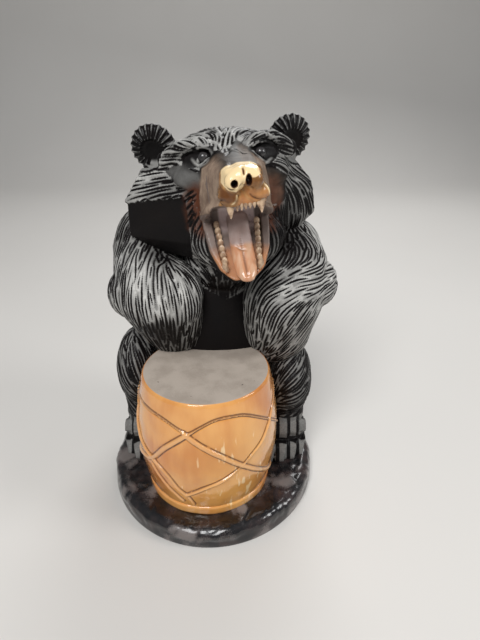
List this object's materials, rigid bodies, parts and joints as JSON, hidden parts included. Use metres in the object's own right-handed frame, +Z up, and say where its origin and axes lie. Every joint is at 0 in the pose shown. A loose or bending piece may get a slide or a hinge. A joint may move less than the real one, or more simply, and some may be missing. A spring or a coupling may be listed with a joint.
{
  "type": "carved wooden bear figurine",
  "caption": "Carved wooden bear with an open mouth, resting its forearms over a strap-laced drum on a round base, all cut from one block.",
  "frame": {"origin": "middle of the oval base's flat underside", "axes": "+Z up; -Y is the front, the way the bear faces; +X is to the viewer's right when the viewer faces its front"},
  "size_m": [0.157, 0.163, 0.2484],
  "materials": {
    "black_stained_wood": "semi-gloss",
    "varnished_wood": "gloss",
    "bare_wood": "matte"
  },
  "bodies": {
    "root": {"carved_bear": "black_stained_wood"}
  },
  "joints": []
}
